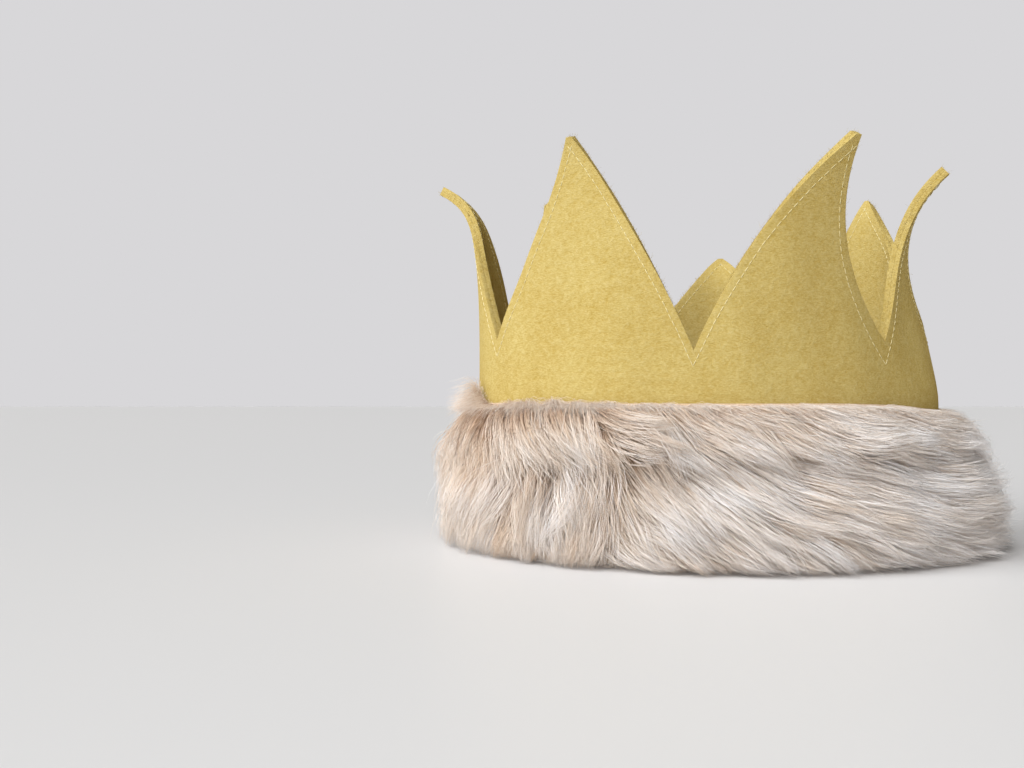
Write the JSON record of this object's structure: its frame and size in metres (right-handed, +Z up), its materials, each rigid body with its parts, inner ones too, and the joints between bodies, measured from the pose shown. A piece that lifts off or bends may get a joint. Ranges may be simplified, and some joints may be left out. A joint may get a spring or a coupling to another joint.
{
  "type": "crown",
  "caption": "Soft felt child's crown with tall curved points, pale edge stitching and a wide long-pile faux fur band round the base.",
  "frame": {"origin": "centre of the head opening, on the table that the crown stands on", "axes": "+X to the crown's right along the longer way of the oval, +Y to its back, +Z up"},
  "size_m": [0.2425, 0.1854, 0.1625],
  "materials": {
    "felt": "matte",
    "interfacing": "matte",
    "edge_thread": "matte",
    "fur_backing": "matte",
    "fur_pile": "matte",
    "band_thread": "matte"
  },
  "bodies": {
    "root": {"outer_felt": "felt", "inner_felt": "felt", "interfacing": "interfacing", "topstitch_needle_thread": "edge_thread", "topstitch_bobbin_thread": "edge_thread", "outer_felt_seam_thread": "edge_thread", "inner_felt_seam_thread": "edge_thread", "fur_backing": "fur_backing", "fur_pile": "fur_pile", "fur_top_stitches": "band_thread", "fur_hem_stitches": "band_thread", "fur_seam_thread": "band_thread"}
  },
  "joints": []
}
